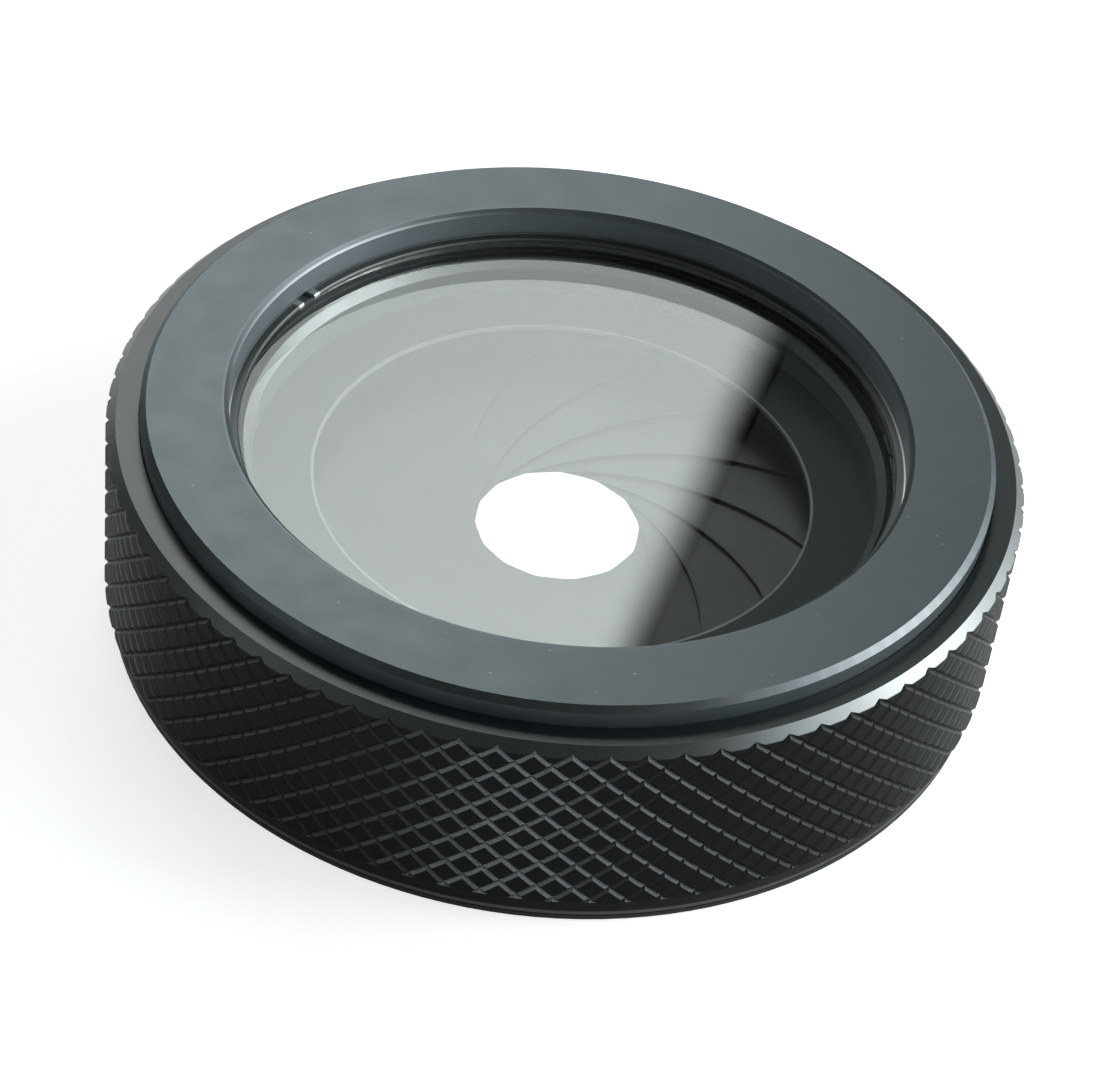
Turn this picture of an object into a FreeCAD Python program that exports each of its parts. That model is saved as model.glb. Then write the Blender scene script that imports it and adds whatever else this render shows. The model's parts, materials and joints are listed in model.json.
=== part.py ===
import FreeCAD, Part
import math
import os
from FreeCAD import Placement, Rotation, Vector

# Iris diaphragm with a knurled control ring and a sealed front window.
# Millimetres. Origin: centre of the base face. +Z runs along the optical axis to the front.

# Light path and the apertures
lightRadius = 17.2
openMargin = 0.15
restRadius = 5.66
closedRadius = 2.5

# Blades
bladeCount = 14
bladeEdgeMargin = 3.1
bladeWidth = 6.1
bladeRimGap = 0.7
bladeThickness = 0.04
bladeSlope = 0.075
bladeUphillAngle = -35.6
bladeRootInnerAngle = 9.0
bladeRootOuterAngle = -3.0
bladeTipInnerAngle = 86.0
bladeTipOuterAngle = 100.0
bladeCornerRadius = 0.9
bladeHeadroom = 0.1
bladeFootroom = 0.08
firstBladeAzimuth = 18.2
pivotInset = 0.7
driveStudReach = 6.5
driveStudAngle = 120.0
pivotStudRadius = 0.5
driveStudRadius = 0.4
studNeckRadius = 0.25
studFit = 0.04
slotFit = 0.05
studEndGap = 0.05
swingPerRingTurn = 0.55

# Plates and rings round the blades
coverThickness = 0.6
supportThickness = 0.8
supportHoleMargin = 0.1
spacerWall = 0.35
pivotRingThickness = 1.2
pivotRingWidth = 2.4
pivotHoleDepth = 0.6
camRingMargin = 0.4
camRingPlay = 0.08
camRingFit = 0.05
camTabThickness = 0.5
camTabReach = 0.75
camTabAzimuth = 75.0
tabSlotRoom = 0.06
plateScrewCount = 3
plateScrewInset = 1.15
plateScrewRadius = 0.5
plateScrewHeadRadius = 0.85
plateScrewHeadHeight = 0.35
plateScrewGrip = 0.7

# Housing
totalHeight = 17.0
barrelWall = 1.1
barrelBottomZ = 1.4
flangeReach = 0.8
flangeThickness = 2.1
flangeChamfer = 0.4
webThickness = 2.64
windowBoreRadius = 23.1
entranceChamfer = 0.33

# Window
glassDepth = 2.36
glassThickness = 2.0
glassBevel = 0.15
glassFit = 0.05
pocketInset = 0.45
gasketThickness = 0.2
gasketWidth = 0.5
ledgeWidth = 1.1
retainerGrooveDepth = 0.25
retainerGrooveRoom = 0.1
retainerFit = 0.05
retainerHeight = 0.3
retainerOverlap = 0.2
retainerBevel = 0.1
retainerOpening = 1.2
retainerAzimuth = 150.0

# Knurled control ring
ringWall = 3.05
ringFit = 0.08
ringFlangeGap = 0.08
ringTopDrop = 1.5
ringTopChamfer = 0.65
ringBandStep = 0.25
ringBandTopZ = 1.85
ringBandTaper = 0.2
ringBottomZ = 0.5
ringRebateZ = 1.75
ringRebateGap = 0.1
topWasherThickness = 0.28
washerFit = 0.08
keyWidth = 3.0
keyFit = 0.04
keywayDepth = 0.9

# Rear plate, with the thread's minor radius
rearThreadRadius = 22.594
rearPlateReach = 1.8
rearLipReach = 0.75
rearLipHeight = 0.35
rearFlangeHeight = 1.3
rearChamfer = 0.3
rearSlotWidth = 2.5
rearSlotDepth = 0.7
rearSlotLength = 2.9
bottomWasherGap = 0.2


axis = Vector(0, 0, 1)
origin = Vector(0, 0, 0)


# Radii that follow, from the clear aperture outwards
openRadius = lightRadius + openMargin
bladeEdgeRadius = lightRadius + bladeEdgeMargin
bladeOuterRadius = bladeEdgeRadius + bladeWidth
pivotCircle = bladeOuterRadius - pivotInset
cavityRadius = bladeOuterRadius + bladeRimGap
pivotRingInner = cavityRadius - pivotRingWidth
camRingOuter = pivotRingInner - camRingPlay
camRingInner = lightRadius + camRingMargin
plateScrewCircle = cavityRadius - plateScrewInset
barrelRadius = cavityRadius + barrelWall
flangeRadius = barrelRadius + flangeReach
ringRadius = barrelRadius + ringWall
ringBandRadius = ringRadius - ringBandStep
rearPlateRadius = barrelRadius + rearPlateReach
pocketRadius = windowBoreRadius - pocketInset
glassRadius = pocketRadius - glassFit
ledgeRadius = glassRadius - ledgeWidth
retainerGrooveRadius = windowBoreRadius + retainerGrooveDepth
retainerRadius = retainerGrooveRadius - retainerFit
retainerInnerRadius = glassRadius - retainerOverlap


def polar(radius, degrees, z=0.0):
    angle = math.radians(degrees)
    return Vector(radius * math.cos(angle), radius * math.sin(angle), z)


def turned(point, degrees, centre=origin):
    return Rotation(axis, degrees).multVec(point - centre) + centre


def bladeCorners():
    # Root and tip corners in the blade's own frame, where its inner edge is centred on the optical axis
    def onOuterArc(start, direction):
        way = Vector(direction).normalize()
        back = start - bladeOuterCentre
        along = back.dot(way)
        return start + way * (math.sqrt(along ** 2 - back.dot(back) + bladeOuterRadius ** 2) - along)

    rootInner = polar(bladeEdgeRadius, bladeRootInnerAngle)
    tipInner = polar(bladeEdgeRadius, bladeTipInnerAngle)
    tipOuter = onOuterArc(tipInner, polar(bladeOuterRadius, bladeTipOuterAngle) - tipInner)
    rootOuter = onOuterArc(origin, polar(1, bladeRootOuterAngle))
    return rootInner, tipInner, tipOuter, rootOuter


def bladeRise(point):
    # Height of the blade's sloping mid plane above its datum
    return bladeSlope * point.dot(polar(1, bladeUphillAngle))


def swingAt(apertureRadius):
    offset = bladeEdgeRadius - apertureRadius
    return 2.0 * math.degrees(math.asin(offset / (2.0 * pivotCircle)))


openSwing = swingAt(openRadius)
restSwing = swingAt(restRadius)
closedSwing = swingAt(closedRadius)
ringToOpen = (restSwing - openSwing) / swingPerRingTurn
ringToClosed = (restSwing - closedSwing) / swingPerRingTurn

# Heights that follow from the stack
glassTopZ = totalHeight - glassDepth
glassBottomZ = glassTopZ - glassThickness
retainerTopZ = glassTopZ + retainerHeight
ledgeZ = glassBottomZ - gasketThickness
coverTopZ = ledgeZ - webThickness
coverBottomZ = coverTopZ - coverThickness
pivotRingBottomZ = coverBottomZ - pivotRingThickness
bladeOuterCentre = turned(origin, -openSwing, polar(pivotCircle, 0))
cornerRises = [bladeRise(corner) for corner in bladeCorners()]
bladeDatumZ = pivotRingBottomZ - bladeHeadroom - bladeThickness - max(cornerRises)
supportTopZ = bladeDatumZ + min(cornerRises) - bladeThickness - bladeFootroom
supportBottomZ = supportTopZ - supportThickness
flangeBottomZ = totalHeight - flangeThickness
ringTopZ = totalHeight - ringTopDrop
ringShoulderZ = flangeBottomZ - topWasherThickness
tabBottomZ = coverBottomZ - camRingFit - camTabThickness


def cylinder(radius, low, high, centre=origin):
    return Part.makeCylinder(radius, high - low, Vector(centre.x, centre.y, low))


def tube(outer, inner, low, high):
    return cylinder(outer, low, high).cut(cylinder(inner, low, high))


def revolved(profile):
    points = [Vector(radius, 0, z) for radius, z in profile]
    wire = Part.makePolygon(points + points[:1])
    return Part.Face(wire).revolve(origin, axis, 360)


def sector(inner, outer, low, high, start, end):
    ring = Part.makeCylinder(outer, high - low, Vector(0, 0, low), axis, end - start)
    ring.rotate(origin, axis, start)
    return ring.cut(cylinder(inner, low, high))


def radialBar(width, inner, outer, low, high, azimuth):
    bar = Part.makeBox(outer - inner, width, high - low, Vector(inner, -width / 2, low))
    bar.rotate(origin, axis, azimuth)
    return bar


def bladeAzimuths():
    return [firstBladeAzimuth + index * 360.0 / bladeCount for index in range(bladeCount)]


def tabSweep(room):
    # The angles that the cam ring's tab covers over its travel, with room at each end
    halfTab = math.degrees(math.asin((keyWidth / 2 + room) / pivotRingInner))
    return camTabAzimuth + ringToClosed - halfTab, camTabAzimuth + ringToOpen + halfTab


def plateScrewAzimuths():
    pitch = 360.0 / bladeCount
    middle = camTabAzimuth + 180.0
    nearest = round((middle - firstBladeAzimuth) / pitch) + 0.5
    stride = bladeCount // (plateScrewCount + 1)
    steps = [stride * (index - (plateScrewCount - 1) // 2) for index in range(plateScrewCount)]
    return [firstBladeAzimuth + (nearest + step) * pitch for step in steps]


def makeHousing():
    body = revolved([
        (cavityRadius, barrelBottomZ),
        (barrelRadius, barrelBottomZ),
        (barrelRadius, flangeBottomZ),
        (flangeRadius, flangeBottomZ),
        (flangeRadius, totalHeight - flangeChamfer),
        (flangeRadius - flangeChamfer, totalHeight),
        (windowBoreRadius + entranceChamfer, totalHeight),
        (windowBoreRadius, totalHeight - entranceChamfer),
        (windowBoreRadius, retainerTopZ + retainerGrooveRoom),
        (retainerGrooveRadius, retainerTopZ + retainerGrooveRoom),
        (retainerGrooveRadius, glassTopZ),
        (pocketRadius, glassTopZ),
        (pocketRadius, ledgeZ),
        (ledgeRadius, ledgeZ),
        (ledgeRadius, coverTopZ),
        (cavityRadius, coverTopZ)])
    start, end = tabSweep(tabSlotRoom)
    slot = sector(cavityRadius - 1, barrelRadius + 1, tabBottomZ - tabSlotRoom, coverBottomZ, start, end)
    body = body.cut(slot)
    for azimuth in plateScrewAzimuths():
        centre = polar(plateScrewCircle, azimuth)
        body = body.cut(cylinder(plateScrewRadius, coverTopZ, coverTopZ + plateScrewGrip, centre))
    return body


def makeKnurledRing():
    bore = barrelRadius + ringFit
    ring = revolved([
        (rearPlateRadius + ringRebateGap, ringBottomZ),
        (ringBandRadius - ringBandTaper, ringBottomZ),
        (ringBandRadius, ringBandTopZ),
        (ringRadius, ringBandTopZ + ringBandStep),
        (ringRadius, ringTopZ - ringTopChamfer),
        (ringRadius - ringTopChamfer, ringTopZ),
        (flangeRadius + ringFlangeGap, ringTopZ),
        (flangeRadius + ringFlangeGap, ringShoulderZ),
        (bore, ringShoulderZ),
        (bore, ringRebateZ),
        (rearPlateRadius + ringRebateGap, ringRebateZ)])
    keyway = radialBar(keyWidth + 2 * keyFit, bore - 1, barrelRadius + keywayDepth,
                       tabBottomZ - keyFit, ringShoulderZ, camTabAzimuth)
    return ring.cut(keyway)


def makeRearPlate():
    plate = revolved([
        (rearThreadRadius + rearChamfer, 0),
        (rearPlateRadius + rearLipReach, 0),
        (rearPlateRadius + rearLipReach, rearLipHeight),
        (rearPlateRadius, rearLipHeight),
        (rearPlateRadius, rearFlangeHeight),
        (cavityRadius, rearFlangeHeight),
        (cavityRadius, supportBottomZ),
        (rearThreadRadius, supportBottomZ),
        (rearThreadRadius, rearChamfer)])
    for azimuth in (0, 180):
        plate = plate.cut(radialBar(rearSlotWidth, cavityRadius - rearSlotLength, cavityRadius, 0,
                                    rearSlotDepth, azimuth))
    return plate


def makeWindowGlass():
    glass = cylinder(glassRadius, glassBottomZ, glassTopZ)
    return glass.makeChamfer(glassBevel, glass.Edges[:1] + glass.Edges[2:])


def makeWindowRetainer():
    # Open at one place, so that it springs into its groove over the rim of the glass
    ring = revolved([
        (retainerInnerRadius, glassTopZ),
        (retainerRadius, glassTopZ),
        (retainerRadius, retainerTopZ),
        (retainerInnerRadius + retainerBevel, retainerTopZ),
        (retainerInnerRadius, retainerTopZ - retainerBevel)])
    opening = radialBar(retainerOpening, retainerInnerRadius - 1, retainerGrooveRadius, glassTopZ - 1,
                        retainerTopZ + 1, retainerAzimuth)
    return ring.cut(opening)


def makeWindowGasket():
    outer = glassRadius - glassFit
    return tube(outer, outer - gasketWidth, ledgeZ, glassBottomZ)


def makeIrisCover():
    cover = tube(cavityRadius, lightRadius, coverBottomZ, coverTopZ)
    for azimuth in plateScrewAzimuths():
        centre = polar(plateScrewCircle, azimuth)
        cover = cover.cut(cylinder(plateScrewRadius, coverBottomZ, coverTopZ, centre))
    return cover


def makePivotRing():
    ring = tube(cavityRadius, pivotRingInner, pivotRingBottomZ, coverBottomZ)
    start, end = tabSweep(tabSlotRoom)
    ring = ring.cut(sector(pivotRingInner - 1, cavityRadius + 1, tabBottomZ - tabSlotRoom,
                           coverBottomZ + 1, start, end))
    for azimuth in bladeAzimuths():
        centre = polar(pivotCircle, azimuth)
        ring = ring.cut(cylinder(pivotStudRadius + studFit, pivotRingBottomZ,
                                 pivotRingBottomZ + pivotHoleDepth, centre))
    for azimuth in plateScrewAzimuths():
        ring = ring.cut(plateScrew(azimuth, coverBottomZ))
    return ring


def plateScrew(azimuth, top):
    centre = polar(plateScrewCircle, azimuth, pivotRingBottomZ)
    head = Part.makeCone(plateScrewHeadRadius, plateScrewRadius, plateScrewHeadHeight, centre)
    return head.fuse(cylinder(plateScrewRadius, pivotRingBottomZ, top, centre)).removeSplitter()


def makePlateScrews():
    return Part.makeCompound([plateScrew(azimuth, coverTopZ + plateScrewGrip)
                              for azimuth in plateScrewAzimuths()])


def driveStudPlace(swing):
    # Where a blade's drive stud stands when its root pivot is on the +X axis
    root = polar(pivotCircle, 0)
    start = root + polar(driveStudReach, driveStudAngle)
    return turned(start, swing - openSwing, root)


def slotPoint(ringAngle):
    # The drive stud's place as seen from the cam ring, which turns against the blades
    swing = restSwing - swingPerRingTurn * ringAngle
    return turned(driveStudPlace(swing), -ringAngle)


def camSlot():
    ends = [slotPoint(ringToClosed), slotPoint(ringToOpen)]
    middle = slotPoint((ringToOpen + ringToClosed) / 2)
    path = Part.Arc(ends[0], middle, ends[1]).toShape().Curve
    halfWidth = driveStudRadius + slotFit
    centre = path.Center
    outside = [centre + (p - centre) * ((path.Radius + halfWidth) / path.Radius) for p in (*ends, middle)]
    inside = [centre + (p - centre) * ((path.Radius - halfWidth) / path.Radius) for p in (*ends, middle)]
    tangents = [axis.cross(p - centre).normalize() * halfWidth for p in ends]
    toEnd = (ends[1] - ends[0]).dot(tangents[0])
    caps = [ends[0] - tangents[0] * math.copysign(1, toEnd), ends[1] + tangents[1] * math.copysign(1, toEnd)]
    edges = [
        Part.Arc(outside[0], outside[2], outside[1]).toShape(),
        Part.Arc(outside[1], caps[1], inside[1]).toShape(),
        Part.Arc(inside[1], inside[2], inside[0]).toShape(),
        Part.Arc(inside[0], caps[0], outside[0]).toShape()]
    face = Part.Face(Part.Wire(edges))
    face.translate(Vector(0, 0, pivotRingBottomZ - 1))
    return face.extrude(Vector(0, 0, pivotRingThickness + 2))


def makeCamRing():
    low = pivotRingBottomZ + camRingFit
    high = coverBottomZ - camRingFit
    ring = cylinder(camRingOuter, low, high)
    tab = radialBar(keyWidth, camRingInner + 1, barrelRadius + camTabReach, tabBottomZ, high, camTabAzimuth)
    ring = ring.fuse(tab).removeSplitter().cut(cylinder(camRingInner, low, high))
    slot = camSlot()
    for azimuth in bladeAzimuths():
        cutter = slot.copy()
        cutter.rotate(origin, axis, azimuth)
        ring = ring.cut(cutter)
    return ring


def makeBladeSupport():
    return tube(cavityRadius, lightRadius + supportHoleMargin, supportBottomZ, supportTopZ)


def makeBladeSpacer():
    return tube(cavityRadius, cavityRadius - spacerWall, supportTopZ, pivotRingBottomZ)


def makeTopWasher():
    return tube(flangeRadius - washerFit, barrelRadius + washerFit, ringShoulderZ, flangeBottomZ)


def makeBottomWasher():
    return tube(rearPlateRadius - bottomWasherGap, barrelRadius + bottomWasherGap,
                rearFlangeHeight, ringRebateZ)


def tiltedSlab(below, above):
    # A slab that rises towards the blade root, from below to above its sloping mid plane
    size = 4 * pivotCircle
    slab = Part.makeBox(size, size, above - below, Vector(-size / 2, -size / 2, below))
    normal = axis - polar(bladeSlope, bladeUphillAngle)
    slab.Placement = Placement(Vector(0, 0, bladeDatumZ), Rotation(axis, normal)).multiply(slab.Placement)
    return slab


def bladeOutline():
    rootInner, tipInner, tipOuter, rootOuter = bladeCorners()
    edgeMiddle = polar(bladeEdgeRadius, (bladeRootInnerAngle + bladeTipInnerAngle) / 2)
    halfway = (tipOuter + rootOuter) / 2 - bladeOuterCentre
    outerMiddle = bladeOuterCentre + halfway.normalize() * bladeOuterRadius
    return Part.Face(Part.Wire([
        Part.Arc(rootInner, edgeMiddle, tipInner).toShape(),
        Part.makeLine(tipInner, tipOuter),
        Part.Arc(tipOuter, outerMiddle, rootOuter).toShape(),
        Part.makeLine(rootOuter, rootInner)]))


def makeBlade():
    prism = bladeOutline().extrude(Vector(0, 0, totalHeight))
    uprights = [edge for edge in prism.Edges if abs(edge.Length - totalHeight) < 1e-6]
    prism = prism.makeFillet(bladeCornerRadius, uprights)
    blade = prism.common(tiltedSlab(-bladeThickness / 2, bladeThickness / 2))
    for place in studPlaces():
        blade = blade.cut(cylinder(studNeckRadius, 0, totalHeight, place))
    return blade.Solids[0]


def studPlaces():
    # In the blade's own frame its swing is zero, with the inner edge centred on the optical axis
    return polar(pivotCircle, 0), driveStudPlace(0)


def makeStuds():
    # Each stud stands on the blade, with a neck that fills the blade's hole
    tops = (pivotRingBottomZ + pivotHoleDepth - studEndGap, coverBottomZ - camRingFit - studEndGap)
    radii = (pivotStudRadius, driveStudRadius)
    under = tiltedSlab(-totalHeight, bladeThickness / 2)
    sheet = tiltedSlab(-bladeThickness / 2, bladeThickness / 2)
    studs = []
    for place, top, radius in zip(studPlaces(), tops, radii):
        post = cylinder(radius, supportTopZ, top, place).cut(under)
        neck = cylinder(studNeckRadius, supportTopZ, top, place).common(sheet)
        studs.append(post.fuse(neck).removeSplitter().Solids[0])
    return Part.makeCompound(studs)


def placedBlade(shape, azimuth):
    # The blade swings about its root pivot to the aperture at rest, then takes its place in the circle
    placed = shape.copy()
    placed.rotate(polar(pivotCircle, 0), axis, restSwing)
    placed.rotate(origin, axis, azimuth)
    return placed


def save(shape, name):
    if not shape.isValid():
        raise ValueError(name + " is not a valid solid")
    shape.exportStep("parts/" + name + ".step")
    print(name, len(shape.Solids), "solid, volume", round(shape.Volume, 2))


def main():
    os.makedirs("parts", exist_ok=True)
    save(makeHousing(), "housing")
    save(makeKnurledRing(), "knurled_ring")
    save(makeRearPlate(), "rear_plate")
    save(makeWindowGlass(), "window_glass")
    save(makeWindowRetainer(), "window_retainer")
    save(makeWindowGasket(), "window_gasket")
    save(makeIrisCover(), "iris_cover")
    save(makePivotRing(), "pivot_ring")
    save(makePlateScrews(), "plate_screws")
    save(makeCamRing(), "cam_ring")
    save(makeBladeSupport(), "blade_support")
    save(makeBladeSpacer(), "blade_spacer")
    save(makeTopWasher(), "top_washer")
    save(makeBottomWasher(), "bottom_washer")
    blade = makeBlade()
    studs = makeStuds()
    for index, azimuth in enumerate(bladeAzimuths()):
        save(placedBlade(blade, azimuth), "blade_%02d" % (index + 1))
        save(placedBlade(studs, azimuth), "blade_studs_%02d" % (index + 1))
    print("Ring travel from rest", round(ringToOpen, 3), "to open,", round(ringToClosed, 3), "to closed")
    print("Blade swing", round(openSwing, 3), round(restSwing, 3), round(closedSwing, 3))
    print("Heights", round(supportTopZ, 3), round(bladeDatumZ, 3), round(pivotRingBottomZ, 3))


main()
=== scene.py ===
import json
import math
import bmesh
import bpy
from mathutils import Matrix, Vector


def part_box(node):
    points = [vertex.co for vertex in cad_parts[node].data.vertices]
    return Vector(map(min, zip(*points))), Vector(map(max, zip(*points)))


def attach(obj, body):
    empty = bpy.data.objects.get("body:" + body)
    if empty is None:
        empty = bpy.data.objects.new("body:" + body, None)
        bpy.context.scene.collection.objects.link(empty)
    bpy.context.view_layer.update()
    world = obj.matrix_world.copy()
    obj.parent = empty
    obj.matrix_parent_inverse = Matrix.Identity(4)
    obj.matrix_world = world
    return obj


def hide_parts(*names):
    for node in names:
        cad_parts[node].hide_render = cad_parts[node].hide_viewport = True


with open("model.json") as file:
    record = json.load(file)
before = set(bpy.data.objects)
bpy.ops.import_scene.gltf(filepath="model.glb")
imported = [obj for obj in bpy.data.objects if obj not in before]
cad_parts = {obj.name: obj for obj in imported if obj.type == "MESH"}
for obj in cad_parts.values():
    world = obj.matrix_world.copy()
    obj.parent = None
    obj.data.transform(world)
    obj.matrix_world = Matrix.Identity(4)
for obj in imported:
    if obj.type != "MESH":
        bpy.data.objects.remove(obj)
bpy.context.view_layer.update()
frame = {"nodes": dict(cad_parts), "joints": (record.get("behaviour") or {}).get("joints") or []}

# Iris diaphragm with a knurled control ring and a window, standing on its rear face.
# Blender's objects are in metres. The sizes of the part, in the dictionaries, are in millimetres.

mm = 0.001
nodes = frame["nodes"]
swings = {joint["child"]: joint["pos_m"] for joint in frame["joints"]}
blades = sorted(name for name in nodes if name in swings)


# Node trees

class Value:
    # A socket that can stand in a sum
    def __init__(self, tree, socket):
        self.tree = tree
        self.socket = socket

    def __add__(self, other):
        return self.tree.maths("ADD", self, other)

    def __sub__(self, other):
        return self.tree.maths("SUBTRACT", self, other)

    def __mul__(self, other):
        return self.tree.maths("MULTIPLY", self, other)

    def __truediv__(self, other):
        return self.tree.maths("DIVIDE", self, other)

    def __rsub__(self, other):
        return self.tree.maths("SUBTRACT", other, self)

    def __lt__(self, other):
        return self.tree.maths("LESS_THAN", self, other)

    def __gt__(self, other):
        return self.tree.maths("GREATER_THAN", self, other)

    __radd__ = __add__
    __rmul__ = __mul__


class Tree:
    def __init__(self, tree):
        self.tree = tree

    def add(self, kind, settings=None, inputs=None, output=0):
        made = self.tree.nodes.new(kind)
        for name, value in (settings or {}).items():
            setattr(made, name, value)
        for name, value in (inputs or {}).items():
            self.feed(made.inputs[name], value)
        return Value(self, made.outputs[output])

    def feed(self, socket, value):
        if isinstance(value, Value):
            self.tree.links.new(value.socket, socket)
        else:
            socket.default_value = value

    def maths(self, operation, *terms):
        return self.add("ShaderNodeMath", {"operation": operation}, dict(enumerate(terms)))

    def split(self, vector):
        made = self.add("ShaderNodeSeparateXYZ", inputs={0: vector})
        return [Value(self, socket) for socket in made.socket.node.outputs]

    def mix(self, share, first, second):
        made = self.add("ShaderNodeMix", {"data_type": "RGBA"}, output=2)
        sockets = made.socket.node.inputs
        for index, value in ((0, share), (6, first), (7, second)):
            self.feed(sockets[index], value)
        return made

    def rise(self, value, edge):
        # 0 up to where the edge begins, 1 from where it ends
        return self.add("ShaderNodeMapRange", {"interpolation_type": "SMOOTHSTEP"}, {
            "Value": value, "From Min": edge[0], "From Max": edge[1]})

    def fall(self, value, edge):
        # 1 up to where the edge begins, 0 from where it ends
        return 1 - self.rise(value, edge)

    def ramp(self, value, edge, ends):
        # A straight run from one end's level to the other's
        return self.add("ShaderNodeMapRange", inputs={
            "Value": value, "From Min": edge[0], "From Max": edge[1], "To Min": ends[0], "To Max": ends[1]})


# Finishes. A pair of numbers in a dictionary is an edge: where it begins and where it ends.

bumpDepth = 0.02


class Finish(Tree):
    def __init__(self, name, **values):
        self.material = bpy.data.materials.new(name)
        self.material.use_nodes = True
        Tree.__init__(self, self.material.node_tree)
        self.shader = self.tree.nodes["Principled BSDF"]
        self.output = self.tree.nodes["Material Output"]
        self.parts = None
        for socketName, value in values.items():
            self.set(socketName.replace("_", " ").title().replace("Ior", "IOR"), value)

    def set(self, socketName, value):
        self.feed(self.shader.inputs[socketName], value)

    def show(self, shader):
        # Takes the place of the plain shader at the material's output
        self.feed(self.output.inputs["Surface"], shader)

    def plain(self):
        return Value(self, self.shader.outputs[0])

    def place(self):
        # Object coordinates in millimetres, as x, y, z, distance from the axis and turn
        if self.parts is None:
            point = self.add("ShaderNodeTexCoord", output="Object")
            self.point = self.add("ShaderNodeVectorMath", {"operation": "SCALE"}, {0: point, "Scale": 1 / mm})
            x, y, z = self.split(self.point)
            radius = self.maths("SQRT", x * x + y * y)
            self.parts = x, y, z, radius, self.maths("ARCTAN2", y, x)
        return self.parts

    def noise(self, scale, detail=2.0, vector=None):
        self.place()
        return self.add("ShaderNodeTexNoise", inputs={
            "Vector": vector or self.point, "Scale": scale, "Detail": detail})

    def turnedLines(self, pitch, waver=0.4):
        # Fine tool marks round the axis, wavering a little
        z, radius, turn = self.place()[2:]
        lines = self.add("ShaderNodeCombineXYZ", inputs={0: radius / pitch, 1: z / pitch, 2: turn * waver})
        return self.noise(1.0, detail=1.0, vector=lines)

    def bump(self, height, strength):
        self.set("Normal", self.add("ShaderNodeBump", inputs={
            "Height": height, "Strength": strength, "Distance": bumpDepth * mm}))


anodise = {
    "wearColour": (0.34, 0.35, 0.35, 1),
    "metalWear": (0.0, 0.35),
    "grain": 9.0,
    "cloud": 0.35,
}

housingLook = {
    "dark": (0.042, 0.051, 0.058, 1),
    "light": (0.064, 0.076, 0.084, 1),
    "reflection": (0.8, 0.89, 0.94, 1),
    "roughness": 0.42,
    "cloudRoughness": 0.14,
    "grainRoughness": 0.06,
    "chamferGloss": 0.08,
    "toolPitch": 0.11,
    "bump": 0.12,
    "grainBump": 0.7,
    "markBump": 0.3,
    "chamferSlope": (45.54, 45.62),
    "chamferFoot": (16.5, 16.58),
    "chamferWear": 0.7,
    # The bore's top edge bands below are rubbed wear and also a painted highlight
    "entryReach": (23.21, 23.26),
    "entryFoot": (16.6, 16.66),
    "lipReach": (23.54, 23.58),
    "lipFoot": (16.97, 16.99),
    "lipWearAndHighlight": 0.6,
    "leastWear": 0.4,
    "cloudWear": 0.4,
    "seatReach": (22.08, 22.1),
    "seatFoot": (11.7, 11.76),
    "seatWear": 0.5,
    "wallReach": (23.14, 23.16),
    "wallFoot": (14.66, 14.7),
    # Painted light: the paler grey of the bore wall, as if lit
    "wallPaintedLight": (0.2, 0.23, 0.245, 1),
    "wallLightShare": 0.5,
    "speckScale": 2.6,
    "speckSize": (0.865, 0.875),
    "speckFoot": (16.95, 16.98),
    "speckColour": (0.5, 0.5, 0.48, 1),
    "speckShare": 0.5,
}


def anodisedFace():
    # Bead-blasted and anodised, with edges that are rubbed lighter and a few specks of dust. The bore's top edge also
    # carries a painted highlight, and the bore wall is painted paler as painted light.
    look = housingLook
    made = Finish("satinAnodise", ior=1.6, specular_ior_level=1.0, specular_tint=look["reflection"])
    z, radius = made.place()[2:4]
    cloud = made.noise(anodise["cloud"], detail=4.0)
    grain = made.noise(anodise["grain"], detail=3.0)
    marks = made.turnedLines(look["toolPitch"])
    chamfer = made.rise(radius + z, look["chamferSlope"]) * made.rise(z, look["chamferFoot"])
    # The bore's top edge: rubbed wear, and a painted highlight in place of the light a rounded edge would catch
    entry = made.fall(radius, look["entryReach"]) * made.rise(z, look["entryFoot"])
    lip = made.fall(radius, look["lipReach"]) * made.rise(z, look["lipFoot"])
    seat = made.fall(radius, look["seatReach"]) * made.rise(z, look["seatFoot"])
    # Painted light: the bore wall is mixed towards a paler grey, as if lit
    wall = made.fall(radius, look["wallReach"]) * made.rise(z, look["wallFoot"])
    speck = made.rise(made.noise(look["speckScale"], detail=0.0), look["speckSize"]) * made.rise(z, look["speckFoot"])
    front = chamfer * look["chamferWear"] + entry + lip * look["lipWearAndHighlight"]
    wearAndHighlight = front * (look["leastWear"] + look["cloudWear"] * cloud) + seat * look["seatWear"]
    tone = made.mix(cloud, look["dark"], look["light"])
    tone = made.mix(wall * look["wallLightShare"], tone, look["wallPaintedLight"])
    tone = made.mix(wearAndHighlight, tone, anodise["wearColour"])
    made.set("Base Color", made.mix(speck * look["speckShare"], tone, look["speckColour"]))
    made.set("Metallic", made.rise(wearAndHighlight, anodise["metalWear"]))
    uneven = look["cloudRoughness"] * (cloud - 0.5) + look["grainRoughness"] * (grain - 0.5)
    made.set("Roughness", look["roughness"] + uneven - look["chamferGloss"] * chamfer)
    made.bump(grain * look["grainBump"] + marks * look["markBump"], look["bump"])
    return made.material


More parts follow.
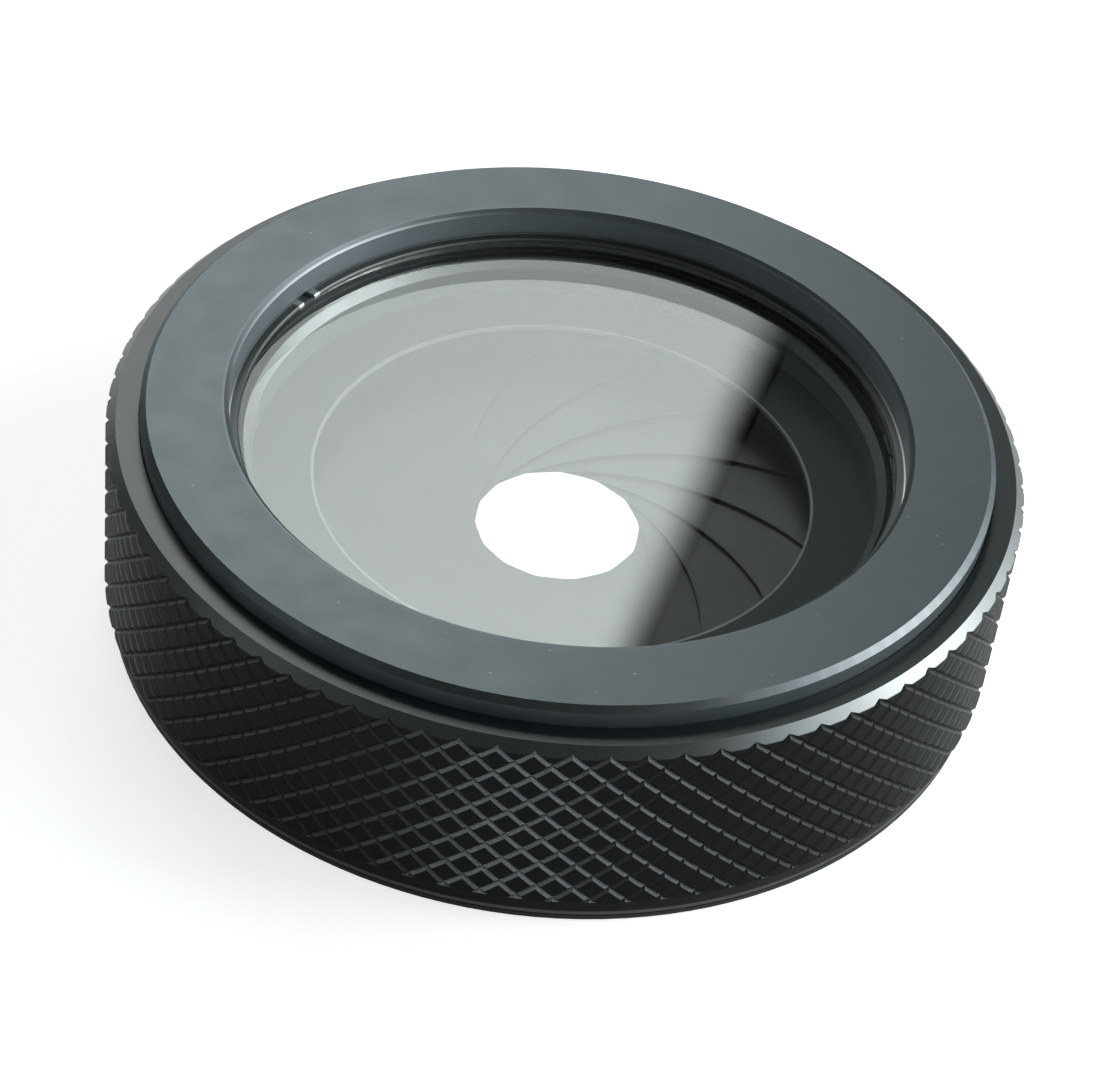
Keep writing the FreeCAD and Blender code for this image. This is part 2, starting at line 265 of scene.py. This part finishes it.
# Slopes are the height of a face's normal, 1 where it faces up
knurlLook = {
    "dark": (0.004, 0.0052, 0.0056, 1),
    "light": (0.008, 0.0096, 0.0102, 1),
    "landTone": (0.003, 0.0085, 0.0105, 1),
    "roughness": 0.36,
    "cloudRoughness": 0.12,
    "rubbedGloss": 0.16,
    "toolPitch": 0.14,
    "bump": 0.06,
    "grainBump": 0.6,
    "markBump": 0.4,
    "flankSlope": (0.28, 0.4),
    "flankReach": (31.225, 31.235),
    "flankTop": (14.83, 14.85),
    # Painted light on the flanks that face up
    "flankPaintedLight": (0.12, 0.22),
    "chamferSlope": (0.6, 0.68),
    "chamferLimit": (0.85, 0.9),
    "chamferFoot": (14.85, 14.9),
    "chamferWear": (0.42, 0.08),
    "hemTop": (0.75, 0.95),
    "hemWear": 0.4,
    "landFoot": (14.8, 14.9),
}


def anodisedRing():
    # Dull black pads, with painted light on the flanks that face up, and the chamfers rubbed to a grey metal
    look = knurlLook
    made = Finish("knurlAnodise", specular_ior_level=0.12, coat_roughness=0.38, coat_ior=1.6)
    z, radius = made.place()[2:4]
    cloud = made.noise(anodise["cloud"], detail=3.0)
    grain = made.noise(anodise["grain"], detail=3.0)
    marks = made.turnedLines(look["toolPitch"])
    up = made.split(made.add("ShaderNodeNewGeometry", output="Normal"))[2]
    # Painted light: the flanks that face up are made a lighter grey metal, as if lit from above, while those facing
    # down stay dark
    litFlank = made.rise(up, look["flankSlope"]) * made.fall(radius, look["flankReach"])
    litFlank = litFlank * made.fall(z, look["flankTop"])
    chamfer = made.rise(up, look["chamferSlope"]) * made.fall(up, look["chamferLimit"])
    chamfer = chamfer * made.rise(z, look["chamferFoot"])
    rubbedAndLit = look["hemWear"] * made.fall(z, look["hemTop"])
    for spot, (least, grainy) in ((litFlank, look["flankPaintedLight"]), (chamfer, look["chamferWear"])):
        rubbedAndLit = rubbedAndLit + spot * (least + grainy * grain)
    land = made.rise(z, look["landFoot"])
    tone = made.mix(land, made.mix(cloud, look["dark"], look["light"]), look["landTone"])
    made.set("Base Color", made.mix(rubbedAndLit, tone, anodise["wearColour"]))
    made.set("Metallic", made.rise(rubbedAndLit, anodise["metalWear"]))
    made.set("Coat Weight", land)
    made.set("Roughness", look["roughness"] + look["cloudRoughness"] * (cloud - 0.5) - look["rubbedGloss"] * rubbedAndLit)
    made.bump(grain * look["grainBump"] + marks * look["markBump"], look["bump"])
    return made.material


rearLook = {
    "dark": (0.014, 0.015, 0.016, 1),
    "light": (0.022, 0.024, 0.025, 1),
    "roughness": 0.4,
    "markRoughness": 0.12,
    "toolPitch": 0.12,
    "bump": 0.2,
}


def rearAnodise():
    made = Finish("rearAnodise")
    cloud = made.noise(anodise["cloud"], detail=3.0)
    marks = made.turnedLines(rearLook["toolPitch"])
    made.set("Base Color", made.mix(cloud, rearLook["dark"], rearLook["light"]))
    made.set("Roughness", rearLook["roughness"] + rearLook["markRoughness"] * (marks - 0.5))
    made.bump(marks, rearLook["bump"])
    return made.material


window = {"colour": (0.955, 0.975, 0.965, 1), "shade": (0.93, 0.95, 0.94, 1), "ior": 1.5}


def windowGlass():
    # Clear glass that lets lamp light straight through, so that what lies under it is lit
    made = Finish("windowGlass", roughness=0.0, ior=window["ior"], transmission_weight=1.0)
    made.set("Base Color", window["colour"])
    clear = made.add("ShaderNodeBsdfTransparent", inputs={"Color": window["shade"]})
    shadow = made.add("ShaderNodeLightPath", output="Is Shadow Ray")
    made.show(made.add("ShaderNodeMixShader", inputs={0: shadow, 1: made.plain(), 2: clear}))
    return made.material


retainerLook = {
    "dark": (0.1, 0.105, 0.105, 1),
    "light": (0.17, 0.175, 0.17, 1),
    # Colour of the painted highlight on the outer edge and of the two ends
    "highlightAndEnds": (0.8, 0.82, 0.82, 1),
    "roughness": 0.4,
    "markRoughness": 0.2,
    "toolPitch": 0.09,
    "bump": 0.3,
    "edgeReach": (22.97, 23.02),
    "gapTurn": 150,
    "endReach": (0.0022, 0.003),
    "endShare": 0.55,
}


def retainerMetal():
    # Blackened spring ring, with a painted highlight along its outer edge, and lighter at the two ends beside its gap
    look = retainerLook
    made = Finish("retainerMetal", metallic=1.0)
    marks = made.turnedLines(look["toolPitch"])
    radius, turn = made.place()[3:]
    fromGap = turn - math.radians(look["gapTurn"])
    ends = look["endShare"] * made.fall(fromGap * fromGap, look["endReach"])
    # Painted highlight along the outer edge, where a rounded edge would catch light. The ends beside the gap are
    # lighter too.
    highlightAndEnds = ends + made.rise(radius, look["edgeReach"]) * (1 - ends)
    tone = made.mix(marks, look["dark"], look["light"])
    made.set("Base Color", made.mix(highlightAndEnds, tone, look["highlightAndEnds"]))
    made.set("Roughness", look["roughness"] + look["markRoughness"] * marks)
    made.bump(marks, look["bump"])
    return made.material


plateLook = {
    "dark": (0.012, 0.0155, 0.0155, 1),
    "light": (0.018, 0.0225, 0.022, 1),
    "roughness": 0.62,
    "cloudRoughness": 0.1,
    "cloud": 0.5,
    "grain": 6.0,
    "bump": 0.04,
    "rimReach": (17.34, 17.4),
    "rimFoot": (9.5, 9.57),
    "rimColour": (0.32, 0.33, 0.32, 1),
    "rimShare": 0.65,
}


def plateBlack():
    # Dull black of the plates and rings round the blades, with the cover's rim rubbed bare
    look = plateLook
    made = Finish("plateBlack", specular_ior_level=0.35)
    z, radius = made.place()[2:4]
    cloud = made.noise(look["cloud"], detail=3.0)
    rim = made.fall(radius, look["rimReach"]) * made.rise(z, look["rimFoot"])
    tone = made.mix(cloud, look["dark"], look["light"])
    made.set("Base Color", made.mix(rim * look["rimShare"], tone, look["rimColour"]))
    made.set("Roughness", look["roughness"] + look["cloudRoughness"] * (cloud - 0.5))
    made.bump(made.noise(look["grain"]), look["bump"])
    return made.material


bladeLook = {
    "dark": (0.014, 0.014, 0.0125, 1),
    "light": (0.022, 0.0215, 0.0195, 1),
    # Painted shadow colour of the line along the inner edge
    "edge": (0.006, 0.006, 0.006, 1),
    "edgeWidth": 0.16,
    "edgeRadius": 20.3,
    "pivotCircle": 25.7,
    "restAperture": 5.66,
    "roughness": 0.42,
    "brushRoughness": 0.15,
    "brushPitch": 0.18,
    "brushLength": 12.5,
    "brushTurn": 0.8,
    "cloud": 0.25,
    "bump": 0.12,
}


def bladeSteel(name):
    # Brushed and blackened leaf, with a painted shadow line along the inner edge that lies on its neighbour
    look = bladeLook
    pivot = Vector(swings[name])
    azimuth = math.atan2(pivot.y, pivot.x)
    lean = 2 * math.asin((look["edgeRadius"] - look["restAperture"]) / (2 * look["pivotCircle"]))
    root = Vector((look["pivotCircle"], 0, 0))
    centre = root + Matrix.Rotation(lean, 3, "Z") @ -root
    centre.rotate(Matrix.Rotation(azimuth, 3, "Z"))
    made = Finish(name + "Steel", metallic=0.15, specular_ior_level=0.35)
    x, y = made.place()[:2]
    across, along = x - centre.x, y - centre.y
    reach = made.maths("SQRT", across * across + along * along)
    # Painted shadow: a dark line along the inner edge, where the leaf's step onto its neighbour casts a thin shadow
    edge = made.fall(reach, (look["edgeRadius"] + look["edgeWidth"] / 2, look["edgeRadius"] + look["edgeWidth"]))
    spun = made.add("ShaderNodeMapping", inputs={
        "Vector": made.point, "Rotation": (0, 0, -azimuth - lean - look["brushTurn"]),
        "Scale": (1 / look["brushPitch"], 1 / look["brushLength"], 1)})
    brush = made.noise(1.0, vector=spun)
    cloud = made.noise(look["cloud"])
    tone = made.mix(brush * 0.5 + cloud * 0.5, look["dark"], look["light"])
    made.set("Base Color", made.mix(edge, tone, look["edge"]))
    made.set("Roughness", look["roughness"] + look["brushRoughness"] * (brush - 0.5))
    made.bump(brush, look["bump"])
    return made.material


speckled = {"grain": 6.0, "darkest": 0.8, "roughness": 0.1, "bump": 0.1}


def plainFinish(name, colour, roughness, metallic=0.0):
    # One colour with a fine speckle
    made = Finish(name, metallic=metallic)
    speckle = made.noise(speckled["grain"], detail=3.0)
    darker = tuple(part * speckled["darkest"] for part in colour[:3]) + (1,)
    made.set("Base Color", made.mix(speckle, darker, colour))
    made.set("Roughness", roughness + speckled["roughness"] * (speckle - 0.5))
    made.bump(speckle, speckled["bump"])
    return made.material


def dress(name, material):
    piece = nodes[name]
    piece.data.materials.clear()
    piece.data.materials.append(material)


faceFinish = anodisedFace()
ringFinish = anodisedRing()
blackPlate = plateBlack()
finishes = {
    "housing": faceFinish,
    "knurled_ring": ringFinish,
    "rear_plate": rearAnodise(),
    "window_glass": windowGlass(),
    "window_retainer": retainerMetal(),
    "window_gasket": plainFinish("gasketRubber", (0.02, 0.02, 0.02, 1), 0.7),
    "iris_cover": blackPlate,
    "pivot_ring": blackPlate,
    "cam_ring": blackPlate,
    "blade_support": blackPlate,
    "blade_spacer": blackPlate,
    "plate_screws": plainFinish("screwSteel", (0.4, 0.4, 0.4, 1), 0.3, 1.0),
    "top_washer": plainFinish("washerPlastic", (0.6, 0.6, 0.58, 1), 0.5),
    "bottom_washer": plainFinish("washerPlasticLow", (0.6, 0.6, 0.58, 1), 0.5),
}
studBrass = plainFinish("studBrass", (0.55, 0.42, 0.2, 1), 0.35, 1.0)
for name, material in finishes.items():
    dress(name, material)
for name in blades:
    dress(name, bladeSteel(name))
    dress(name.replace("blade_", "blade_studs_"), studBrass)
print("finishes on", len(nodes), "nodes")


# Knurl, window seat and rear thread

class Rule(Tree):
    # A geometry tree with named sizes
    def __init__(self, name):
        Tree.__init__(self, bpy.data.node_groups.new(name, "GeometryNodeTree"))
        self.tree.interface.new_socket("Geometry", in_out="INPUT", socket_type="NodeSocketGeometry")
        self.tree.interface.new_socket("Geometry", in_out="OUTPUT", socket_type="NodeSocketGeometry")
        self.entry = self.tree.nodes.new("NodeGroupInput")
        self.exit = self.tree.nodes.new("NodeGroupOutput")
        self.sizes = {}

    def size(self, name, value, kind="Float"):
        socket = self.tree.interface.new_socket(name, in_out="INPUT", socket_type="NodeSocket" + kind)
        self.sizes[socket.identifier] = value
        return Value(self, self.entry.outputs[name])

    def start(self):
        return Value(self, self.entry.outputs["Geometry"])

    def position(self):
        return self.split(self.add("GeometryNodeInputPosition"))

    def around(self, radius, angle, height):
        # A point at that distance from the axis, turn and height
        across = radius * self.maths("SINE", angle + math.pi / 2)
        return self.add("ShaderNodeCombineXYZ", inputs={
            0: across, 1: radius * self.maths("SINE", angle), 2: height})

    def boolean(self, operation, *solids):
        made = self.tree.nodes.new("GeometryNodeMeshBoolean")
        made.operation = operation
        made.solver = "EXACT"
        first = made.inputs["Mesh 2"] if operation == "INTERSECT" else made.inputs["Mesh 1"]
        for index, solid in enumerate(solids):
            self.tree.links.new(solid.socket, first if index == 0 else made.inputs["Mesh 2"])
        return Value(self, made.outputs["Mesh"])

    def finish(self, shape, material):
        real = self.add("GeometryNodeRealizeInstances", inputs={0: shape})
        painted = self.add("GeometryNodeSetMaterial", inputs={"Geometry": real, "Material": material})
        self.tree.links.new(painted.socket, self.exit.inputs[0])


# Edges sharper than this, in degrees, stay sharp. Corners nearer than the others, in metres, join.
sharpAngle = 25
gridWeld = 1e-6
copyWeld = 1e-7


def applyRule(piece, rule):
    # Runs the tree on the piece and keeps what comes out as a plain mesh
    modifier = piece.modifiers.new(rule.tree.name, "NODES")
    modifier.node_group = rule.tree
    for identifier, value in rule.sizes.items():
        modifier[identifier] = value
    graph = bpy.context.evaluated_depsgraph_get()
    mesh = bpy.data.meshes.new_from_object(piece.evaluated_get(graph))
    piece.modifiers.clear()
    piece.data = mesh
    mesh.name = piece.name
    mesh.shade_smooth()
    mesh.set_sharp_from_angle(angle=math.radians(sharpAngle))
    print(piece.name, len(mesh.polygons), "faces")


def makePiece(name, mesh, rule, body, nodeName):
    # Takes the place of the CAD node and rides on its body
    piece = bpy.data.objects.new(name, mesh)
    bpy.context.scene.collection.objects.link(piece)
    applyRule(piece, rule)
    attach(piece, body)
    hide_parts(nodeName)


def lathe(name, profile, segments):
    # Closed ring from a closed outline of (radius, height) points
    mesh = bpy.data.meshes.new(name)
    shape = bmesh.new()
    loops = []
    for step in range(segments):
        angle = 2 * math.pi * step / segments
        across, along = mm * math.cos(angle), mm * math.sin(angle)
        loops.append([shape.verts.new((r * across, r * along, z * mm)) for r, z in profile])
    for step, loop in enumerate(loops):
        after = loops[(step + 1) % segments]
        for index in range(len(profile)):
            above = (index + 1) % len(profile)
            shape.faces.new((loop[index], after[index], after[above], loop[above]))
    bmesh.ops.recalc_face_normals(shape, faces=shape.faces)
    shape.to_mesh(mesh)
    shape.free()
    return mesh


def mergedCopy(name):
    # The CAD node's own shape with its loose triangles joined up
    mesh = nodes[name].data.copy()
    mesh.attributes.remove(mesh.attributes["custom_normal"])
    shape = bmesh.new()
    shape.from_mesh(mesh)
    bmesh.ops.remove_doubles(shape, verts=shape.verts, dist=copyWeld)
    shape.to_mesh(mesh)
    shape.free()
    mesh.name = name + "Copy"
    return mesh


ring = {
    "radius": 31.25,
    "topChamfer": 0.65,
    "bore": 28.28,
    "upperBore": 29.08,
    "shoulder": 14.62,
    "bandStep": 0.25,
    "bandTop": 1.85,
    "bandTaper": 0.2,
    "rebateRadius": 30.1,
    "rebateTop": 1.75,
    "starts": 84,
    "axialPitch": 2.126,
    "grooveDepth": 0.23,
    "flankRise": 0.43,
    "firstCrossing": (275.07, 15.07),
    "rowsAbove": 1,
    "rows": 9,
    "keyReach": 29.1,
    "keyWidth": 3.08,
    "keyLow": 8.61,
    "keyHigh": 14.62,
    "keyTurn": 75.0,
    "keyCutter": 4.0,
}


def makeKnurl(low, high):
    # Flat-topped pyramids on two grids are wrapped round the ring. What lies inside them is kept of
    # the blank, as its diamond pads, and the keyway is cut last.
    rule = Rule("diamondKnurl")
    starts = rule.size("Starts", ring["starts"], "Int")
    rows = rule.size("Rows", ring["rows"], "Int")
    pitch = rule.size("Axial Pitch", ring["axialPitch"] * mm)
    root = rule.size("Root Radius", (ring["radius"] - ring["grooveDepth"]) * mm)
    rise = rule.size("Flank Rise", ring["flankRise"] * mm)
    azimuth, crossing = ring["firstCrossing"]
    phase = rule.size("Phase", math.radians(azimuth))
    top = rule.size("First Crossing", crossing * mm)
    around = 2 * math.pi * ring["radius"] / ring["starts"]
    normalPitch = around * ring["axialPitch"] / math.hypot(around, ring["axialPitch"])
    share = rule.size("Pad Share", 1 - 2 * ring["flankRise"] / normalPitch)

    cell = rule.add("GeometryNodeMeshCone", {"fill_type": "NGON"}, {
        "Vertices": 4, "Radius Top": share, "Radius Bottom": 1.0, "Depth": 1.0})
    underside = rule.split(rule.add("GeometryNodeInputNormal"))[2] < -0.5
    cell = rule.add("GeometryNodeDeleteGeometry", {"domain": "FACE"}, {"Geometry": cell, "Selection": underside})
    grid = rule.add("GeometryNodeMeshGrid", inputs={
        "Size X": starts - 1, "Size Y": rows - 1, "Vertices X": starts, "Vertices Y": rows})
    second = rule.add("GeometryNodeTransform", inputs={"Geometry": grid, "Translation": (0.5, 0.5, 0)})
    joined = rule.tree.nodes.new("GeometryNodeJoinGeometry")
    for part in grid, second:
        rule.tree.links.new(part.socket, joined.inputs[0])
    size = rule.add("ShaderNodeCombineXYZ", inputs={0: 0.5, 1: 0.5, 2: rise})
    cells = rule.add("GeometryNodeInstanceOnPoints", inputs={
        "Points": Value(rule, joined.outputs[0]), "Instance": cell, "Scale": size})
    flat = rule.add("GeometryNodeRealizeInstances", inputs={0: cells})

    # The grid is centred, so its first row is half its height above the middle
    x, y, z = rule.position()
    turn = (x - (starts - 1) / 2) * (2 * math.pi) / starts + phase
    height = top + pitch * (y - (rows - 1) / 2 + ring["rowsAbove"] - 0.5)
    wrapped = rule.add("GeometryNodeSetPosition", inputs={
        "Geometry": flat, "Position": rule.around(root + z, turn, height)})
    sleeve = rule.add("GeometryNodeMergeByDistance", inputs={"Geometry": wrapped, "Distance": gridWeld})

    # The open ends of the sleeve are drawn to two points on the axis, well clear of the ring
    count = rule.add("GeometryNodeInputMeshEdgeNeighbors")
    extruded = rule.add("GeometryNodeExtrudeMesh", {"mode": "EDGES"}, {
        "Mesh": sleeve, "Selection": count < 1.5, "Offset Scale": 0.0})
    z = rule.position()[2]
    lowTip, highTip = -0.5 * high, 2.0 * high
    tip = rule.add("ShaderNodeCombineXYZ", inputs={2: lowTip + (z > (low + high) / 2) * (highTip - lowTip)})
    closed = rule.add("GeometryNodeSetPosition", inputs={
        "Geometry": extruded, "Selection": Value(rule, extruded.socket.node.outputs["Top"]), "Position": tip})
    closed = rule.add("GeometryNodeMergeByDistance", inputs={"Geometry": closed, "Distance": gridWeld})

    depth, width, tall = ring["keyCutter"], ring["keyWidth"], ring["keyHigh"] - ring["keyLow"]
    middle = (ring["keyReach"] - depth / 2) * mm
    angle = math.radians(ring["keyTurn"])
    box = rule.add("GeometryNodeMeshCube", inputs={"Size": (depth * mm, width * mm, tall * mm)})
    box = rule.add("GeometryNodeTransform", inputs={
        "Geometry": box, "Rotation": (0, 0, angle), "Translation": (
            middle * math.cos(angle), middle * math.sin(angle), (ring["keyLow"] + ring["keyHigh"]) / 2 * mm)})
    padded = rule.boolean("INTERSECT", rule.start(), closed)
    rule.finish(rule.boolean("DIFFERENCE", padded, box), ringFinish)
    return rule


def makeKnurledRing():
    low, high = (corner.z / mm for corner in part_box("knurled_ring"))
    band = ring["radius"] - ring["bandStep"]
    profile = [
        (ring["rebateRadius"], low),
        (band - ring["bandTaper"], low),
        (band, ring["bandTop"]),
        (ring["radius"], ring["bandTop"] + ring["bandStep"]),
        (ring["radius"], high - ring["topChamfer"]),
        (ring["radius"] - ring["topChamfer"], high),
        (ring["upperBore"], high),
        (ring["upperBore"], ring["shoulder"]),
        (ring["bore"], ring["shoulder"]),
        (ring["bore"], ring["rebateTop"]),
        (ring["rebateRadius"], ring["rebateTop"])]
    blank = lathe("knurledRing", profile, 6 * ring["starts"])
    rule = makeKnurl(low * mm, high * mm)
    makePiece("knurledRing", blank, rule, "control_ring", "knurled_ring")


thread = {
    "pitch": 0.75,
    "minorRadius": 22.594,
    "rootRadius": 22.99,
    "overlap": 0.12,
    "grooveShare": 0.75,
    "segmentsPerTurn": 128,
    "fade": 0.04,
    "startTurn": 200,
    "startHeight": 3.5,
    "turns": 4.4,
}


def makeThread():
    # A helical groove of V section, cut out of the wall and faded out at both ends. The cutter is a
    # three-sided bar whose corners lie 1 from its middle, so x runs from -0.5 to 1 and y to 0.866.
    rule = Rule("rearThread")
    pitch = rule.size("Pitch", thread["pitch"] * mm)
    inner = rule.size("Inner Radius", (thread["minorRadius"] - thread["overlap"]) * mm)
    cut = thread["rootRadius"] - thread["minorRadius"]
    depth = rule.size("Depth", (cut + thread["overlap"]) * mm)
    slope = (cut + thread["overlap"]) / cut
    halfWidth = rule.size("Half Width", thread["grooveShare"] * thread["pitch"] / 2 * slope * mm)
    begin = rule.size("Start Turn", math.radians(thread["startTurn"]))
    top = rule.size("Start Height", thread["startHeight"] * mm)
    count = rule.size("Turns", thread["turns"])
    segments = int(thread["turns"] * thread["segmentsPerTurn"])
    cutter = rule.add("GeometryNodeMeshCylinder", {"fill_type": "NGON"}, {
        "Vertices": 3, "Side Segments": segments, "Radius": 1.0, "Depth": 1.0})
    x, y, z = rule.position()
    way = 0.5 - z
    fade = rule.rise(way, (0.0, thread["fade"])) * rule.rise(1 - way, (0.0, thread["fade"]))
    radius = inner + depth * fade * (x + 0.5) / 1.5
    angle = begin - way * count * (2 * math.pi)
    height = top - way * count * pitch + y / 0.866 * halfWidth
    shaped = rule.add("GeometryNodeSetPosition", inputs={
        "Geometry": cutter, "Position": rule.around(radius, angle, height)})
    shaped = rule.add("GeometryNodeFlipFaces", inputs={0: shaped})
    rule.finish(rule.boolean("DIFFERENCE", rule.start(), shaped), finishes["rear_plate"])
    makePiece("threadedRearPlate", mergedCopy("rear_plate"), rule, "housing", "rear_plate")


seat = {"depth": 0.75, "ledge": 12.44, "radius": 22.08, "overlap": 0.1, "segments": 256}


def makeSeat():
    # A bevel on the ledge below the window
    rule = Rule("windowSeat")
    depth = rule.size("Depth", (seat["depth"] + seat["overlap"]) * mm)
    reach = rule.size("Reach", (seat["radius"] + seat["overlap"]) * mm)
    ledge = rule.size("Ledge", (seat["ledge"] + seat["overlap"]) * mm)
    cone = rule.add("GeometryNodeMeshCone", {"fill_type": "NGON"}, {
        "Vertices": seat["segments"], "Radius Top": reach, "Radius Bottom": reach - depth, "Depth": depth})
    place = rule.add("ShaderNodeCombineXYZ", inputs={2: ledge - depth})
    cone = rule.add("GeometryNodeTransform", inputs={"Geometry": cone, "Translation": place})
    rule.finish(rule.boolean("DIFFERENCE", rule.start(), cone), faceFinish)
    makePiece("housingWithSeat", mergedCopy("housing"), rule, "housing", "housing")


makeKnurledRing()
makeSeat()
makeThread()
print("knurl, window seat and rear thread cut")


# Room and camera, in metres. The mirrored values are the share of the white that mirrors see.

floorLook = {"size": 4.0, "gap": 0.0001, "colour": (0.86, 0.86, 0.86, 1), "lift": 0.72, "mirrored": 0.15}


def whiteRays(tree):
    # The rays that see the white background: straight, mirrored and through the glass
    path = tree.add("ShaderNodeLightPath").socket.node
    names = "Is Camera Ray", "Is Glossy Ray", "Is Transmission Ray"
    return [Value(tree, path.outputs[name]) for name in names]


def makeFloor():
    half = floorLook["size"] / 2
    mesh = bpy.data.meshes.new("floor")
    mesh.from_pydata([(-half, -half, 0), (half, -half, 0), (half, half, 0), (-half, half, 0)], [], [(0, 1, 2, 3)])
    floor = bpy.data.objects.new("floor", mesh)
    floor.location.z = -floorLook["gap"]
    bpy.context.scene.collection.objects.link(floor)
    made = Finish("floorWhite", roughness=0.9, specular_ior_level=0.0)
    made.set("Base Color", floorLook["colour"])
    camera, glossy, through = whiteRays(made)
    seen = camera + through + floorLook["mirrored"] * glossy
    lit = made.add("ShaderNodeEmission", inputs={"Color": (1, 1, 1, 1), "Strength": floorLook["lift"] * seen})
    made.show(made.add("ShaderNodeAddShader", inputs={0: made.plain(), 1: lit}))
    mesh.materials.append(made.material)


# Edges are directions, from -1 to 1 along each axis
roomLook = {
    "ambient": 0.06,
    "tint": (0.88, 0.98, 1.0, 1),
    "mirrored": 0.02,
    "right": 2.6,
    "rightFrom": (0.6, 0.85),
    "left": 2.2,
    "leftTo": (-0.85, -0.6),
    "leftFront": (-0.35, -0.15),
    "leftTop": (0.3, 0.5),
}


def makeWorld():
    # White to the eye. Its light comes from the right, and from low at the left.
    world = bpy.data.worlds.new("room")
    world.use_nodes = True
    bpy.context.scene.world = world
    made = Tree(world.node_tree)
    camera, glossy, through = whiteRays(made)
    seen = camera + roomLook["mirrored"] * (glossy + through)
    x, y, z = made.split(made.add("ShaderNodeTexCoord", output="Generated"))
    right = roomLook["right"] * made.rise(x, roomLook["rightFrom"])
    left = roomLook["left"] * made.fall(x, roomLook["leftTo"])
    left = left * made.fall(y, roomLook["leftFront"]) * made.fall(z, roomLook["leftTop"])
    strength = roomLook["ambient"] + right + left
    strength = strength + seen * (1 - strength)
    background = world.node_tree.nodes["Background"].inputs
    made.feed(background["Color"], made.mix(camera, roomLook["tint"], (1, 1, 1, 1)))
    made.feed(background["Strength"], strength)


# The window mirrors the large panel behind, whose right edge crosses it
panelLook = {
    "distance": 0.5,
    "edgeLow": (0.075, 0.28),
    "edgeHigh": (0.0, 0.64),
    "left": -0.42,
    "strength": 4.0,
    "colour": (0.925, 1.0, 0.985, 1),
    "softness": 0.016,
    "lowToHigh": (0.74, 1.5),
    "leftToRight": (0.75, 1.0),
    "rampAcross": (-0.2, 0.0),
}


def makePanel():
    (lowX, lowZ), (highX, highZ) = panelLook["edgeLow"], panelLook["edgeHigh"]
    y, left = panelLook["distance"], panelLook["left"]
    mesh = bpy.data.meshes.new("panel")
    mesh.from_pydata([(left, y, lowZ), (lowX, y, lowZ), (highX, y, highZ), (left, y, highZ)], [], [(0, 1, 2, 3)])
    panel = bpy.data.objects.new("panel", mesh)
    bpy.context.scene.collection.objects.link(panel)
    made = Finish("panelLight")
    x, z = (made.place()[axis] * mm for axis in (0, 2))
    slope = (highX - lowX) / (highZ - lowZ)
    inward = lowX - slope * lowZ - (x - slope * z)
    height = made.ramp(z, (lowZ, highZ), panelLook["lowToHigh"])
    across = made.ramp(x, panelLook["rampAcross"], panelLook["leftToRight"])
    fade = across * height * made.rise(inward, (0.0, panelLook["softness"]))
    made.show(made.add("ShaderNodeEmission", inputs={
        "Color": panelLook["colour"], "Strength": panelLook["strength"] * fade}))
    mesh.materials.append(made.material)


lampLook = {"place": (0.5, 0.05, 0.28), "aim": (0, 0, 0.01), "size": (0.25, 0.4), "watts": 1.2}


def makeLamp():
    light = bpy.data.lights.new("rightStrip", "AREA")
    light.shape = "RECTANGLE"
    light.size, light.size_y = lampLook["size"]
    light.energy = lampLook["watts"]
    lamp = bpy.data.objects.new("rightStrip", light)
    lamp.location = lampLook["place"]
    lamp.rotation_mode = "QUATERNION"
    lamp.rotation_quaternion = (Vector(lampLook["aim"]) - lamp.location).to_track_quat("-Z", "Y")
    bpy.context.scene.collection.objects.link(lamp)


# The camera looks at the middle of the front face, before its small turns. The focal length is
# in picture widths.
viewpoint = {
    "elevation": 38.443,
    "distance": 0.214513,
    "height": 0.017,
    "yaw": -0.029,
    "pitch": 2.381,
    "roll": 7.378,
    "focal": 3168.36 / 1107,
}


def makeCamera():
    elevation = math.radians(viewpoint["elevation"])
    away = Vector((0, -math.cos(elevation), math.sin(elevation)))
    ahead = -away
    right = Vector((1, 0, 0))
    rows = Matrix((right, ahead.cross(right), ahead))
    for name, first, second in (("yaw", 0, 2), ("pitch", 1, 2), ("roll", 0, 1)):
        angle = math.radians(viewpoint[name])
        a, b = rows[first].copy(), rows[second].copy()
        rows[first] = a * math.cos(angle) - b * math.sin(angle)
        rows[second] = a * math.sin(angle) + b * math.cos(angle)
    camera = bpy.data.objects.new("camera", bpy.data.cameras.new("camera"))
    camera.data.lens = camera.data.sensor_width * viewpoint["focal"]
    turn = Matrix((rows[0], -rows[1], -rows[2])).transposed()
    place = away * viewpoint["distance"] + Vector((0, 0, viewpoint["height"]))
    camera.matrix_world = Matrix.Translation(place) @ turn.to_4x4()
    camera.data.clip_start, camera.data.clip_end = 0.01, 20
    bpy.context.scene.collection.objects.link(camera)
    bpy.context.scene.camera = camera


makeFloor()
makeWorld()
makePanel()
makeLamp()
makeCamera()
bpy.context.scene.view_settings.view_transform = "Standard"
print("room and camera ready")
